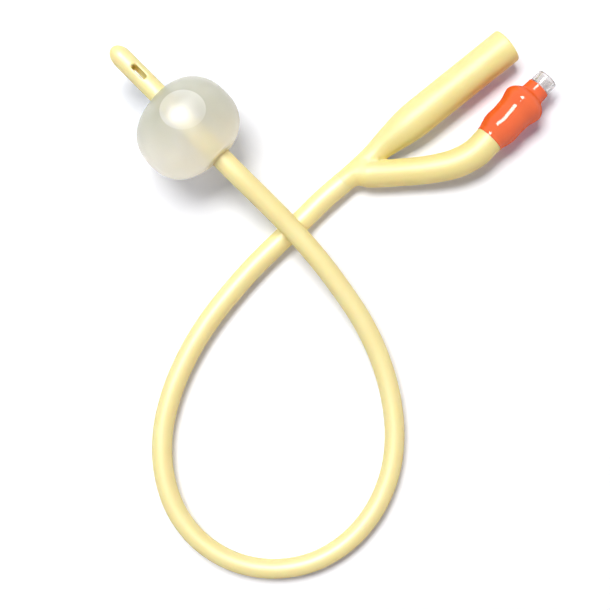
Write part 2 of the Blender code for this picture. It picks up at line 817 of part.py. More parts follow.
def make_plunger(parts, plastic):
    """Plunger with its head, the stem that a syringe pushes and the spring's guide."""
    top = chamber_top() + SEAT_T + PLUNGER_STEM_ABOVE_SEAT
    head_top = plunger_head_top()
    head_foot = head_top - PLUNGER_HEAD_T
    stem = PLUNGER_STEM_D / 2
    guide = PLUNGER_GUIDE_D / 2
    profile = [
        (0.0, top),
        (stem * 0.75, top),
        (stem, top - 0.25),
        (stem, head_top),
        (PLUNGER_HEAD_D / 2, head_top),
        (PLUNGER_HEAD_D / 2, head_foot),
        (guide, head_foot),
        (guide, head_foot - PLUNGER_GUIDE_L),
        (0.0, head_foot - PLUNGER_GUIDE_L),
    ]
    return finish(turned("valve_plunger", profile, valve_frame(), SMALL_SIDES, parts, closed=False), plastic)


def make_seal(parts, rubber):
    """Flat rubber ring between the plunger's head and the valve seat."""
    foot = plunger_head_top() + FIT
    bore = PLUNGER_STEM_D / 2 + FIT
    profile = [
        (SEAL_D / 2, foot + SEAL_T),
        (SEAL_D / 2, foot),
        (bore, foot),
        (bore, foot + SEAL_T),
    ]
    return finish(turned("plunger_seal", profile, valve_frame(), SMALL_SIDES, parts, closed=True), rubber)


def make_spring(parts, steel):
    """Coil spring from the valve base's flange up to the plunger's head."""
    wire = SPRING_WIRE_D / 2
    foot = flange_top() + FIT + wire
    top = plunger_head_top() - PLUNGER_HEAD_T - FIT - wire
    count = SPRING_TURNS * SPRING_POINTS_PER_TURN
    points = []
    for i in range(count + 1):
        angle = math.tau * i / SPRING_POINTS_PER_TURN
        points.append((
            SPRING_COIL_D / 2 * math.cos(angle),
            SPRING_COIL_D / 2 * math.sin(angle),
            blend(foot, top, i / count),
        ))
    spring = tube("valve_spring", points, [wire] * len(points), FINE_SIDES, parts)
    spring.matrix_world = valve_frame()
    return finish(spring, steel)


def main():
    clear_scene()
    parts = make_collection(NAME)
    cutters = make_collection(NAME + "_cutters")
    shaft_latex = material("shaft_latex", LATEX, 0.35)
    tip_latex = material("tip_latex", LATEX, 0.3)
    moulding_latex = material("moulding_latex", LATEX, 0.4)
    film = material("balloon_film", BALLOON_FILM, 0.3, alpha=0.6)
    orange = material("orange_sleeve", SLEEVE_ORANGE, 0.2)
    clear = material("clear_plastic", CLEAR_PLASTIC, 0.1, alpha=0.5)
    base_plastic = material("base_plastic", WHITE_PLASTIC, 0.4)
    plunger_plastic = material("plunger_plastic", WHITE_PLASTIC, 0.35)
    steel = material("spring_steel", SPRING_STEEL, 0.3, metallic=1.0)
    rubber = material("seal_rubber", SEAL_RUBBER, 0.6)

    make_shaft(parts, shaft_latex)
    make_tip_section(parts, cutters, tip_latex)
    make_balloon(parts, film)
    make_moulding(parts, cutters, moulding_latex)
    make_valve_base(parts, base_plastic)
    make_valve_housing(parts, clear)
    make_sleeve(parts, orange)
    make_plunger(parts, plunger_plastic)
    make_seal(parts, rubber)
    make_spring(parts, steel)


main()
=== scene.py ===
"""Looks of the balloon catheter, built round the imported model.

Everything is in metres. The table is the plane z = 0, and the drainage funnel opens
along +Y. Sizes are written in millimetres times MM.
"""
import math

import bmesh
import bpy
import numpy as np
from mathutils import Matrix, Vector


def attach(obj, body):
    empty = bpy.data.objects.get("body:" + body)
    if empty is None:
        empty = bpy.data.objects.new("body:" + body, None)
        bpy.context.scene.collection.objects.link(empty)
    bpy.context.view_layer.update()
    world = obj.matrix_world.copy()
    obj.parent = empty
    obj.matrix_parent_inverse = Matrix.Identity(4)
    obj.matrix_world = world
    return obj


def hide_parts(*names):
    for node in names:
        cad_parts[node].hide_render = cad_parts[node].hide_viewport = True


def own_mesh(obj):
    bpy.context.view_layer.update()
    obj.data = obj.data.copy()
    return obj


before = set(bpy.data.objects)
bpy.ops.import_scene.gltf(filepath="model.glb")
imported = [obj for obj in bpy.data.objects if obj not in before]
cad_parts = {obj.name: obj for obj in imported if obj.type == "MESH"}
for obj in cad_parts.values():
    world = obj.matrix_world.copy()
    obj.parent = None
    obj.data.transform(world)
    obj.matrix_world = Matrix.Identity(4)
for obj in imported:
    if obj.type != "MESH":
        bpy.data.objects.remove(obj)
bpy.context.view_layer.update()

MM = 0.001

# Play between pieces, as in the model
FIT = 0.3 * MM

# Camera: straight above the table and rolled to the photograph's view. PICTURE_ROLL turns
# directions in the picture (right, up, toward the camera) into directions on the table.
CAMERA_SPOT = (43.76 * MM, -41.93 * MM, 350.0 * MM)
CAMERA_ROLL = 51.2
VIEW_HALF_WIDTH = 86.28 * MM
VIEW_DISTANCE = 347.0 * MM
VIEW_NEAREST = 10 * MM
PICTURE_ROLL = Matrix.Rotation(math.radians(CAMERA_ROLL), 3, "Z")

# Pieces that each span of a smooth curve is worked out in
CURVE_PIECES = 16

# Shaft
SHAFT_ROOT_D = 6.2 * MM
SHAFT_WAIST_D = 5.5 * MM
SHAFT_BALLOON_D = 5.9 * MM
SHAFT_STEP = 1.2 * MM
SHAFT_BEVEL = 16
SEAM_LAP = 0.1 * MM

# Balloon
BALLOON_D = 28.9 * MM
BALLOON_TIP_L = 12.5 * MM
BALLOON_EXIT_L = 11.75 * MM
BALLOON_FULLNESS = 2.35
BALLOON_LEAN = 0.8 * MM
FILM_WALL = 0.3 * MM
FILM_FIT = 0.05 * MM
CUFF_L = 2.0 * MM
BALLOON_RINGS = 72
BALLOON_SIDES = 144

# Tones of the balloon's film, all painted light: a painted reflection at its top, painted shade and
# painted refraction of the shaft in the line at the exit, and one side painted lighter with a
# painted glow
# Painted reflection: a lighter oval on the top of the film
PAINTED_REFLECTION = (-16.5 * MM, -34.8 * MM)
PAINTED_REFLECTION_W = 12.2 * MM
PAINTED_REFLECTION_H = 10.8 * MM
PAINTED_REFLECTION_TURN = 51.2
PAINTED_REFLECTION_EDGE = (1.03, 0.98)
PAINTED_REFLECTION_RISE = (BALLOON_D * 0.5, BALLOON_D * 0.6)
# Painted shade and painted refraction of the shaft, as a dark olive line where the film meets it
EXIT_SHADE_REACH = (5.4 * MM, 4.9 * MM)
EXIT_SHADE_L = (0.8 * MM, 0.4 * MM)
# Painted light: the film is painted lighter and glowing towards one side across the table, and
# darker towards the other as shade
LIT_SIDE_WAY = (0.30, -0.95, 0.0)
LIT_SIDE_RUN = (-4.6 * MM, 10.8 * MM)

# Tip section
TIP_D = 5.65 * MM
TIP_L = 39.3 * MM
NOSE_L = 4.2 * MM
SEAM_TO_WIDEST = 8.7 * MM
EYE_L = 5.0 * MM
EYE_W = 1.5 * MM
EYE_FROM_NOSE = 10.4 * MM
EYE_TURN = 14.0
EYE_HEIGHT = TIP_L - EYE_FROM_NOSE
LUMEN_D = 3.0 * MM
BLIND_END_L = 1.2 * MM
LUMEN_TOP = EYE_HEIGHT + EYE_L / 2 + BLIND_END_L
TIP_SLIM_FROM = SEAM_TO_WIDEST + BALLOON_TIP_L - CUFF_L * 2
TIP_SIDES = 64
LUMEN_SIDES = 32
NOSE_STEPS = 24
EYE_STEPS = 12

# Moulding: drainage limb and inflation arm
LIMB_ROOT_L = 8.5 * MM
LIMB_FLARE_L = 18.4 * MM
FUNNEL_L = 32.3 * MM
MOUTH_FROM_ROOT = LIMB_ROOT_L + LIMB_FLARE_L + FUNNEL_L
FUNNEL_D = 10.3 * MM
MOUTH_BORE_D = 8.2 * MM
THROAT_BORE_D = 7.4 * MM
ARM_ROOT_D = 7.8 * MM
ARM_D = 8.4 * MM
ARM_START_D = 4.3 * MM
ARM_START_L = 4.0 * MM
ARM_SWELL_FROM = 12.0 * MM
ARM_SWELL_L = 23.0 * MM
ARM_STRAIGHT_L = 1.5 * MM
WEB_LIMB_L = 12.0 * MM
WEB_ARM_L = 7.2 * MM
WEB_BELOW_CROWN = 0.4 * MM
REBATE_D = 7.0 * MM
REBATE_L = 0.9 * MM
SOCKET_D = 9.0 * MM
SOCKET_FLARE_L = 2.2 * MM
SOCKET_TOP = 7.0 * MM
SOCKET_DEPTH = 5.8 * MM
SOCKET_BORE_D = 5.3 * MM
LIMB_STEP = 0.6 * MM
ARM_STEP = 0.8 * MM
BORE_STEP = 1.5 * MM
LIMB_BEYOND = 4 * MM
CUT_BEYOND = 1 * MM
TUBE_SIDES = 32
BORE_SIDES = 64
SOCKET_SIDES = 48

# Valve: heights are above the lower rim of the colour sleeve
CHAMBER_D = 6.8 * MM
CHAMBER_L = 6.1 * MM
HOUSING_FOOT = 8.5 * MM
CHAMBER_TOP = HOUSING_FOOT + CHAMBER_L
SEAT_T = 0.7 * MM
SEAT_HOLE_D = 3.0 * MM
LUER_DEPTH = 7.8 * MM
LUER_RIM = CHAMBER_TOP + SEAT_T + LUER_DEPTH
LUER_MOUTH_D = 4.3 * MM
LUER_TAPER = 0.06
LUER_OUTER_D = 6.4 * MM
COLLAR_D = 10.4 * MM
COLLAR = CHAMBER_TOP - 2.3 * MM
COLLAR_L = 2.0 * MM
COLLAR_RAMP_L = 1.0 * MM
SHOULDER_L = 2.2 * MM
GROOVE_D = 5.4 * MM
SLEEVE_L = 19.4 * MM
LIP_WALL = 0.45 * MM
WAIST_WALL = 0.4 * MM
SHOULDER_WALL = 0.7 * MM
NECK_WALL = 0.4 * MM
SLEEVE_LAP = 0.45 * MM
SLEEVE_LAP_END = 0.1 * MM
SLEEVE_LAP_FIT = 0.02 * MM
SLEEVE_LAP_WALL = 0.15 * MM
SLEEVE_STEP = 0.2 * MM
SLEEVE_SIDES = 128
HOUSING_ROUND = 0.25 * MM
ROUND_STEPS = 4
HOUSING_SIDES = 96
VALVE_HEIGHT = COLLAR_D / 2 + FIT + SHOULDER_WALL

# Places
ROOT = (23.45 * MM, -11.0 * MM)
FUNNEL_X = 22.5 * MM
VALVE = (39.84 * MM, 27.9 * MM)
VALVE_TURN = 97.44
SEAM = (-4.8 * MM, -34.87 * MM)
TIP_TURN = 185.95

# Centre line of the shaft in metres, with the height as a step: 0 on the table, 1 over
# the lower strand, 2 on the balloon's axis
SHAFT_ROUTE = [
    (0.02345, -0.0113, 0.0),
    (0.02375, -0.0195, 0.0),
    (0.0246, -0.0279, 0.0),
    (0.0253, -0.0364, 0.0),
    (0.0261, -0.0449, 0.0),
    (0.0279, -0.0559, 0.0),
    (0.0305, -0.0668, 0.0),
    (0.0344, -0.0773, 0.0),
    (0.0397, -0.0871, 0.0),
    (0.0468, -0.0960, 0.0),
    (0.0558, -0.1028, 0.0),
    (0.0664, -0.1068, 0.0),
    (0.0775, -0.1069, 0.0),
    (0.0880, -0.1030, 0.0),
    (0.0965, -0.0955, 0.0),
    (0.1019, -0.0856, 0.0),
    (0.1035, -0.0744, 0.0),
    (0.1014, -0.0633, 0.0),
    (0.0961, -0.0533, 0.0),
    (0.0883, -0.0452, 0.0),
    (0.0788, -0.0391, 0.02),
    (0.0684, -0.0348, 0.1),
    (0.0573, -0.0322, 0.29),
    (0.0460, -0.0312, 0.53),
    (0.0349, -0.0310, 0.79),
    (0.0238, -0.0316, 1.04),
    (0.0130, -0.0328, 1.5),
    (0.0022, -0.03415, 1.93),
    (-0.0018, -0.03456, 2.0),
    (-0.0048, -0.03487, 2.0),
]

# Centre line of the arm in metres, with the climb from the table to the valve's axis
ARM_ROUTE = [
    (0.0243, -0.0074, 0.0),
    (0.02687, -0.00384, 0.0),
    (0.02908, -0.00091, 0.0),
    (0.03116, 0.00209, 0.0),
    (0.03312, 0.0049, 0.03),
    (0.03664, 0.01052, 0.2),
    (0.03945, 0.01648, 0.55),
    (0.0405, 0.0226, 0.9),
]

# Roundings of the soft moulded edges. The one between limb and arm tightens from the arm's
# root to the crotch, between these two places along Y.
ARM_ROOT_ROUND = 1.5 * MM
ARM_ROOT_FROM = -5.0 * MM
CROTCH_ROUND = 0.25 * MM
CROTCH_FROM = -0.5 * MM
WEB_ROUND = 0.7 * MM
LIP_ROUND = 0.5 * MM
EYE_ROUND = 0.7 * MM
SOCKET_ROUND = 0.2 * MM
CRISP_ROUND = 0.1 * MM
ROOT_OVERLAP = 1.2 * MM

# Wrapping of the soft pieces: size of the mesh, rounds of drawing it on, and of smoothing it
MOULDING_VOXEL = 0.26 * MM
TIP_VOXEL = 0.16 * MM
WRAP_ROUNDS = 3
WRAP_STEPS = 3
WRAP_REACH = 4
SMOOTH_TURNS = 4

# How far the plunger goes in
PLUNGER_STROKE = 1.5 * MM

# Table: its cool glow is only seen, and turns white with the distance from the picture
TABLE_SIZE = 6.0
TABLE_WHITE = (0.98, 0.98, 0.98)
TABLE_GLOW = (0.02, 0.05, 0.13)
TABLE_FAR = (50 * MM, 650 * MM)

# Light: one lamp, dim surroundings and a low warm fill. Spots are right, up and out of the
# picture from its middle.
LAMP_SPOT = (-380.0 * MM, 636.0 * MM, 1485.0 * MM)
LAMP_W = 1050.0 * MM
LAMP_H = 560.0 * MM
LAMP_BRIGHTNESS = 16.5
AMBIENT = (0.035, 0.037, 0.042)
FILL = (1.2, 0.88, 0.5)
FILL_SPOT = (900.0 * MM, -720.0 * MM, 170.0 * MM)
FILL_FOCUS = 4.0

# Colours, most of them as a pair that a noise runs between
BLACK = (0.0, 0.0, 0.0)
WHITE = (1.0, 1.0, 1.0)
LATEX = (0.90, 0.79, 0.335), (0.89, 0.768, 0.305)
# Painted shade, painted light and painted glow of the balloon's film
SHADED_FILM = (0.56, 0.58, 0.47)
LIT_SIDE_FILM = (0.98, 0.95, 0.82)
LIT_SIDE_GLOW = (0.21, 0.195, 0.165)
# Painted reflection on the top of the film
PAINTED_REFLECTION_TONE = (0.84, 0.84, 0.76)
# Painted shade and painted refraction at the exit line
EXIT_SHADE_TONE = (0.32, 0.27, 0.04)
ORANGE = (0.93, 0.140, 0.020), (0.90, 0.122, 0.017)
CLEAR = (0.80, 0.79, 0.78), (0.86, 0.85, 0.84)
VALVE_WHITE = (0.82, 0.82, 0.79), (0.88, 0.88, 0.86)
RUBBER = (0.015, 0.015, 0.017), (0.035, 0.035, 0.038)
STEEL = (0.55, 0.56, 0.58), (0.68, 0.69, 0.70)


def smoothstep(value):
    """Ease from 0 to 1."""
    value = min(max(value, 0.0), 1.0)
    return value * value * (3 - 2 * value)


def between(start, end, share):
    """Value between start and end."""
    return start + (end - start) * share


def smooth_curve(points, step):
    """Points along a smooth curve through the given ones, about one step apart."""
    points = [Vector(point) for point in points]
    spans = [(b - a).length for a, b in zip(points, points[1:])]
    slopes = [(b - a) / span for a, b, span in zip(points, points[1:], spans)]
    tangents = [slopes[0]]
    for i in range(1, len(points) - 1):
        before, after = spans[i - 1], spans[i]
        tangents.append((slopes[i - 1] * after + slopes[i] * before) / (before + after))
    tangents.append(slopes[-1])
    fine = []
    for i, span in enumerate(spans):
        for k in range(CURVE_PIECES):
            t = k / CURVE_PIECES
            fine.append(
                points[i] * (2 * t**3 - 3 * t**2 + 1)
                + tangents[i] * span * (t**3 - 2 * t**2 + t)
                + points[i + 1] * (3 * t**2 - 2 * t**3)
                + tangents[i + 1] * span * (t**3 - t**2)
            )
    fine.append(points[-1])
    lengths = [0.0]
    for a, b in zip(fine, fine[1:]):
        lengths.append(lengths[-1] + (b - a).length)
    count = max(2, round(lengths[-1] / step))
    result = []
    k = 0
    for i in range(count + 1):
        target = lengths[-1] * i / count
        while k < len(fine) - 2 and lengths[k + 1] < target:
            k += 1
        share = (target - lengths[k]) / (lengths[k + 1] - lengths[k])
        result.append(fine[k].lerp(fine[k + 1], min(share, 1.0)))
    return result


# Shader building


class Value:
    """Output of a shader node. Arithmetic on it adds Math nodes."""

    def __init__(self, finish, socket):
        self.finish = finish
        self.socket = socket

    @staticmethod
    def math(operation, first, second):
        """Math node on two values, of which one may be a plain number."""
        finish = (first if isinstance(first, Value) else second).finish
        return finish.node("ShaderNodeMath", {"operation": operation}, {0: first, 1: second})

    def __add__(self, other):
        return self.math("ADD", self, other)

    __radd__ = __add__

    def __sub__(self, other):
        return self.math("SUBTRACT", self, other)

    def __rsub__(self, other):
        return self.math("SUBTRACT", other, self)

    def __mul__(self, other):
        return self.math("MULTIPLY", self, other)

    __rmul__ = __mul__

    def __truediv__(self, other):
        return self.math("DIVIDE", self, other)

    def __rtruediv__(self, other):
        return self.math("DIVIDE", other, self)

    def __pow__(self, other):
        return self.math("POWER", self, other)

    def __rpow__(self, other):
        return self.math("POWER", other, self)

    def larger(self, other):
        """The larger of two values."""
        return self.math("MAXIMUM", self, other)


class Finish:
    """A material, or the world, under construction."""

    def __init__(self, name, kind="materials"):
        self.block = getattr(bpy.data, kind).new(name)
        self.block.use_nodes = True
        self.tree = self.block.node_tree
        self.tree.nodes.clear()

    def node(self, kind, settings=None, inputs=None, output=0):
        """Add a node: its settings first, then the values or links of its sockets."""
        node = self.tree.nodes.new(kind)
        for key, value in (settings or {}).items():
            setattr(node, key, value)
        for key, value in (inputs or {}).items():
            if isinstance(value, Value):
                self.tree.links.new(value.socket, node.inputs[key])
            else:
                node.inputs[key].default_value = value
        return Value(self, node.outputs[output]) if len(node.outputs) else None

    def place(self):
        """Position on the piece, in metres."""
        return self.node("ShaderNodeTexCoord", output=3)

    def axis_place(self, matrix):
        """Position in the frame of a turned piece."""
        inverse = matrix.inverted()
        return self.node(
            "ShaderNodeMapping",
            {"vector_type": "POINT"},
            {
                "Vector": self.place(),
                "Location": inverse.to_translation(),
                "Rotation": inverse.to_euler(),
            },
        )

    def parts_of(self, vector):
        """The three numbers of a vector."""
        first = self.node("ShaderNodeSeparateXYZ", {}, {0: vector})
        return [Value(self, socket) for socket in first.socket.node.outputs]

    def noise(self, size, detail=2.0):
        """Noise whose blobs are about the given size across."""
        return self.node(
            "ShaderNodeTexNoise",
            {"noise_dimensions": "3D"},
            {"Vector": self.place(), "Scale": 1 / size, "Detail": detail, "Roughness": 0.5},
        )

    def ramp(self, value, low, high):
        """Smooth step from 0 at low to 1 at high."""
        return self.node(
            "ShaderNodeMapRange",
            {"interpolation_type": "SMOOTHSTEP"},
            {"Value": value, "From Min": low, "From Max": high},
        )

    def mix(self, share, first, second):
        """Colour between two colours."""
        first, second = (
            color if isinstance(color, Value) else (*color, 1.0) for color in (first, second)
        )
        return self.node("ShaderNodeMix", {"data_type": "RGBA"}, {0: share, 6: first, 7: second}, 2)

    def facing(self):
        """0 where the surface faces the eye and 1 at its edges, for gloss."""
        return self.node("ShaderNodeLayerWeight", {}, {"Blend": 0.5}, 1)

    def bump(self, height, distance):
        """Normal of a surface raised by up to the distance."""
        inputs = {"Height": height, "Distance": distance, "Strength": 1.0}
        return self.node("ShaderNodeBump", {}, inputs)

    def principled(self, **sockets):
        """Principled shader, with its sockets' names written with underscores."""
        inputs = {key.replace("_", " "): value for key, value in sockets.items()}
        return self.node("ShaderNodeBsdfPrincipled", {}, inputs)

    def seen(self):
        """1 for rays that show the surface itself: to the eye, in gloss or through glass."""
        camera, gloss, glass = (
            self.node("ShaderNodeLightPath", output=f"Is {ray} Ray")
            for ray in ("Camera", "Glossy", "Transmission")
        )
        return camera.larger(gloss).larger(glass)

    def end(self, shader, output="ShaderNodeOutputMaterial"):
        """Close the material with its surface shader."""
        self.node(output, {}, {"Surface": shader})
        return self.block


# Materials


def latex(name, gloss=0.85):
    """Natural latex: pale yellow, with a broad soft gloss and light that carries through it."""
    finish = Finish(name)
    cloud = finish.noise(7 * MM, 2.0)
    grain = finish.noise(0.45 * MM, 3.0)
    color = finish.mix(finish.ramp(cloud, 0.3, 0.75), *LATEX)
    ripple = finish.noise(2.2 * MM, 1.0)
    return finish.end(finish.principled(
        Base_Color=color,
        Roughness=grain * 0.08 + 0.5,
        Specular_IOR_Level=0.25,
        Coat_Weight=finish.ramp(finish.facing(), 1.0, 0.0) * gloss + 0.02,
        Coat_Roughness=0.5,
        Coat_IOR=2.6,
        Subsurface_Weight=0.5,
        Subsurface_Radius=(1.0, 0.65, 0.25),
        Subsurface_Scale=1.6 * MM,
        IOR=1.5,
        Normal=finish.bump(grain * 0.3 + ripple, 0.03 * MM),
    ))


def painted_reflection_mask(finish):
    """1 on the painted reflection: a lighter oval on the top of the balloon."""
    x, y, z = finish.parts_of(finish.place())
    turn = math.radians(PAINTED_REFLECTION_TURN)
    dx, dy = x - PAINTED_REFLECTION[0], y - PAINTED_REFLECTION[1]
    wide = (dx * math.cos(turn) + dy * math.sin(turn)) / (PAINTED_REFLECTION_W / 2)
    tall = (dy * math.cos(turn) - dx * math.sin(turn)) / (PAINTED_REFLECTION_H / 2)
    reach = (wide * wide + tall * tall) ** 0.5
    return finish.ramp(reach, *PAINTED_REFLECTION_EDGE) * finish.ramp(z, *PAINTED_REFLECTION_RISE)


def lit_side_mask(finish):
    """0 on the side of the film painted darker as shade, easing to 1 along a fixed way across the
    table to the side painted lighter with a glow.
    """
    x, y, _ = finish.parts_of(finish.place())
    middle = TIP_FRAME @ Vector((0.0, 0.0, SEAM_TO_WIDEST))
    way = PICTURE_ROLL @ Vector(LIT_SIDE_WAY)
    return finish.ramp((x - middle.x) * way.x + (y - middle.y) * way.y, *LIT_SIDE_RUN)


def exit_shade_mask(finish):
    """1 on the line where the film meets the shaft, painted as shade and as a refraction of the
    shaft.
    """
    x, y, along = finish.parts_of(finish.axis_place(TIP_FRAME))
    reach = (x * x + y * y) ** 0.5
    exit_end = SEAM_TO_WIDEST - BALLOON_EXIT_L
    start, stop = (exit_end + length for length in EXIT_SHADE_L)
    return finish.ramp(reach, *EXIT_SHADE_REACH) * finish.ramp(along, start, stop)


def balloon_film():
    """Stretched film with painted light: one side painted lighter and glowing, the other darker as
    shade, a painted reflection at its top and painted shade at the exit.
    """
    finish = Finish("balloon_film")
    # Painted shade and painted light with a glow, across the film
    lit_side = lit_side_mask(finish)
    # Painted shade and painted refraction of the shaft at the exit
    exit_shade = exit_shade_mask(finish)
    painted_film_tone = finish.mix(lit_side, SHADED_FILM, LIT_SIDE_FILM)
    # Painted reflection at the top of the film
    color = finish.mix(painted_reflection_mask(finish), painted_film_tone, PAINTED_REFLECTION_TONE)
    return finish.end(finish.principled(
        Base_Color=finish.mix(exit_shade, color, EXIT_SHADE_TONE),
        Roughness=finish.noise(3 * MM, 1.0) * 0.06 + 0.40,
        Specular_IOR_Level=1.0,
        Coat_Weight=0.9,
        Coat_Roughness=0.38,
        Coat_IOR=2.0,
        Subsurface_Weight=1.0,
        Subsurface_Radius=(1.0, 0.9, 0.7),
        Subsurface_Scale=2.0 * MM,
        Alpha=0.46 - lit_side * 0.10 + exit_shade * 0.45,
        # Painted glow on the side painted lighter
        Emission_Color=finish.mix(lit_side, BLACK, LIT_SIDE_GLOW),
        Emission_Strength=1.0,
        Normal=finish.bump(finish.noise(5 * MM, 1.0), 0.05 * MM),
    ))


def orange_skin():
    """Glossy orange skin of the sleeve, shrunk on and a little uneven."""
    finish = Finish("orange_sleeve")
    cloud = finish.noise(5 * MM, 2.0)
    waves = finish.noise(3.6 * MM, 1.0)
    return finish.end(finish.principled(
        Base_Color=finish.mix(finish.ramp(cloud, 0.3, 0.7), *ORANGE),
        Roughness=finish.noise(1.0 * MM, 2.0) * 0.08 + 0.45,
        Specular_IOR_Level=0.0,
        Coat_Weight=finish.ramp(finish.facing(), 1.0, 0.1),
        Coat_IOR=1.58,
        Coat_Roughness=0.03,
        Normal=finish.bump(waves, 0.08 * MM),
    ))


def clear_plastic():
    """Clear moulded plastic."""
    finish = Finish("clear_plastic")
    return finish.end(finish.principled(
        Base_Color=finish.mix(finish.noise(2 * MM, 1.0), *CLEAR),
        Roughness=finish.noise(3 * MM, 1.0) * 0.02,
        IOR=1.49,
        Transmission_Weight=0.9,
    ))


def white_plastic():
    """Natural white moulded plastic of the inner valve parts."""
    finish = Finish("white_plastic")
    return finish.end(finish.principled(
        Base_Color=finish.mix(finish.noise(1.5 * MM, 2.0), *VALVE_WHITE),
        Roughness=finish.noise(0.5 * MM, 1.0) * 0.1 + 0.32,
    ))


def seal_rubber():
    """Dark rubber of the seal."""
    finish = Finish("seal_rubber")
    grain = finish.noise(0.2 * MM, 2.0)
    return finish.end(finish.principled(
        Base_Color=finish.mix(grain, *RUBBER),
        Roughness=grain * 0.2 + 0.5,
        Normal=finish.bump(grain, 0.01 * MM),
    ))


def spring_steel():
    """Bright drawn wire."""
    finish = Finish("spring_steel")
    grain = finish.noise(0.3 * MM, 2.0)
    return finish.end(finish.principled(
        Base_Color=finish.mix(grain, *STEEL),
        Metallic=1.0,
        Roughness=grain * 0.15 + 0.2,
    ))


# Distances to shapes, for arrays of points: negative inside, with the way out


def unit(vectors):
    """Vectors of length 1."""
    return vectors / np.maximum(np.linalg.norm(vectors, axis=1, keepdims=True), 1e-12)


def from_tube(points, centres, radii):
    """Distance to a round tube along a polyline, with a radius at each of its points."""
    best = np.full(len(points), 1e9)
    way = np.zeros((len(points), 3))
    for start, stop, r0, r1 in zip(centres, centres[1:], radii, radii[1:]):
        line = stop - start
        share = np.clip((points - start) @ line / (line @ line), 0.0, 1.0)
        offset = points - start - share[:, None] * line
        length = np.linalg.norm(offset, axis=1)
        distance = length - (r0 + (r1 - r0) * share)
        nearer = distance < best
        best[nearer] = distance[nearer]
        way[nearer] = offset[nearer]
    return best, unit(way)


def from_plane(points, origin, normal):
    """Distance to the half space behind a plane."""
    return (points - origin) @ normal, np.tile(normal, (len(points), 1))


def join(first, second, rounding):
    """Union of two shapes with a fillet, whose size may differ from point to point."""
    share = np.clip(0.5 + 0.5 * (second[0] - first[0]) / rounding, 0.0, 1.0)
    distance = second[0] * (1 - share) + first[0] * share - rounding * share * (1 - share)
    way = unit(second[1] * (1 - share[:, None]) + first[1] * share[:, None])
    return distance, way


def opposite(shape):
    """The space round a shape."""
    return -shape[0], -shape[1]


def cut(first, second, rounding):
    """First shape without the second, with a rounded edge."""
    return opposite(join(opposite(first), second, rounding))


def keep(first, second, rounding):
    """What two shapes share, with a rounded edge."""
    return opposite(join(opposite(first), opposite(second), rounding))


# Mesh building


def link(name, data):
    """New object in the scene."""
    piece = bpy.data.objects.new(name, data)
    bpy.context.scene.collection.objects.link(piece)
    return piece


def mesh_from(builder, name):
    """Mesh of what was built, with the builder freed."""
    mesh = bpy.data.meshes.new(name)
    builder.to_mesh(mesh)
    builder.free()
    return mesh


def dress(piece, material, node):
    """Give a piece its material and smooth shading, hang it on the catheter's body, and hide the
    node of the model that it stands in for.
    """
    piece.data.materials.clear()
    piece.data.materials.append(material)
    if piece.type == "MESH":
        piece.data.shade_smooth()
    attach(piece, "catheter")
    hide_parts(node)


def turned_mesh(name, profile, place, sides):
    """Mesh turned about its own Z from (radius, height) pairs that go round or axis to axis."""
    closed = profile[0][0] > 0
    builder = bmesh.new()
    rings = []
    for radius, height in profile:
        if radius == 0:
            rings.append([builder.verts.new(place @ Vector((0.0, 0.0, height)))])
            continue
        ring = []
        for i in range(sides):
            angle = math.tau * i / sides
            ring.append(builder.verts.new(
                place @ Vector((radius * math.cos(angle), radius * math.sin(angle), height))
            ))
        rings.append(ring)
    pairs = list(zip(rings, rings[1:]))
    if closed:
        pairs.append((rings[-1], rings[0]))
    for upper, lower in pairs:
        for i in range(sides):
            k = (i + 1) % sides
            if len(upper) == 1:
                builder.faces.new((upper[0], lower[i], lower[k]))
            elif len(lower) == 1:
                builder.faces.new((upper[i], lower[0], upper[k]))
            else:
                builder.faces.new((upper[i], lower[i], lower[k], upper[k]))
    bmesh.ops.recalc_face_normals(builder, faces=builder.faces)
    return mesh_from(builder, name)


def tube_mesh(name, centres, radii, sides):
    """Closed mesh tube along a polyline."""
    curve = bpy.data.curves.new(name, "CURVE")
    curve.dimensions = "3D"
    curve.bevel_depth = 1.0
    curve.bevel_resolution = (sides - 4) // 2
    curve.use_fill_caps = True
    spline = curve.splines.new("POLY")
    spline.points.add(len(centres) - 1)
    for knot, centre, radius in zip(spline.points, centres, radii):
        knot.co = (*centre, 1.0)
        knot.radius = radius
    holder = link(name, curve)
    bpy.context.view_layer.update()
    graph = bpy.context.evaluated_depsgraph_get()
    mesh = bpy.data.meshes.new_from_object(holder.evaluated_get(graph))
    bpy.data.objects.remove(holder)
    cleaner = bmesh.new()
    cleaner.from_mesh(mesh)
    bmesh.ops.remove_doubles(cleaner, verts=cleaner.verts, dist=1e-7)
    bmesh.ops.recalc_face_normals(cleaner, faces=cleaner.faces)
    cleaner.to_mesh(mesh)
    cleaner.free()
    return mesh


def apply_modifiers(piece):
    """Replace a piece's mesh by the one that its modifiers give."""
    bpy.context.view_layer.update()
    graph = bpy.context.evaluated_depsgraph_get()
    mesh = bpy.data.meshes.new_from_object(piece.evaluated_get(graph))
    piece.modifiers.clear()
    piece.data = mesh


def without(piece, cutter_mesh):
    """Cut a mesh out of a piece."""
    cutter = link("cutter", cutter_mesh)
    modifier = piece.modifiers.new("cut", "BOOLEAN")
    modifier.operation = "DIFFERENCE"
    modifier.object = cutter
    modifier.solver = "EXACT"
    apply_modifiers(piece)
    bpy.data.objects.remove(cutter)


def smooth_mesh(mesh):
    """Even out a mesh's points."""
    smoother = bmesh.new()
    smoother.from_mesh(mesh)
    for _ in range(SMOOTH_TURNS):
        bmesh.ops.smooth_vert(
            smoother,
            verts=smoother.verts,
            factor=0.5,
            use_axis_x=True,
            use_axis_y=True,
            use_axis_z=True,
        )
    smoother.to_mesh(mesh)
    smoother.free()


